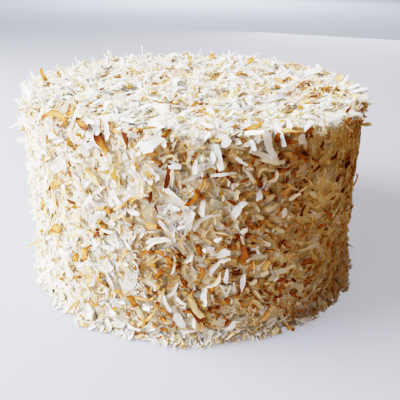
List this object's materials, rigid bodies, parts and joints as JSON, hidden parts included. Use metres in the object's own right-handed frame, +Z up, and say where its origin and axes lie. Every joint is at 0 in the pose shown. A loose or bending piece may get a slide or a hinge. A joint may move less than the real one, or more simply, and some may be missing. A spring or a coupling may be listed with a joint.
{
  "type": "coconut cake",
  "caption": "Tall round layer cake, frosted white and coated all over in shaved, partly toasted coconut; uncut, free-standing on a flat foot.",
  "frame": {"origin": "centre of the flat foot that the cake rests on", "axes": "+Z up along the cake's axis; -Y towards the side that the reference view shows; +X to the right in that view"},
  "size_m": [0.2319, 0.2307, 0.1207],
  "materials": {
    "coconut_coating": "matt frosting coated in shaved coconut, white to toasted brown",
    "frosting": "soft satin whipped frosting, warm white",
    "white_coconut": "matt shaved coconut, untoasted, slightly translucent",
    "toasted_coconut": "dry toasted coconut, gold to dark brown"
  },
  "bodies": {
    "root": {"coconut_cake": "coconut_coating"}
  },
  "joints": []
}
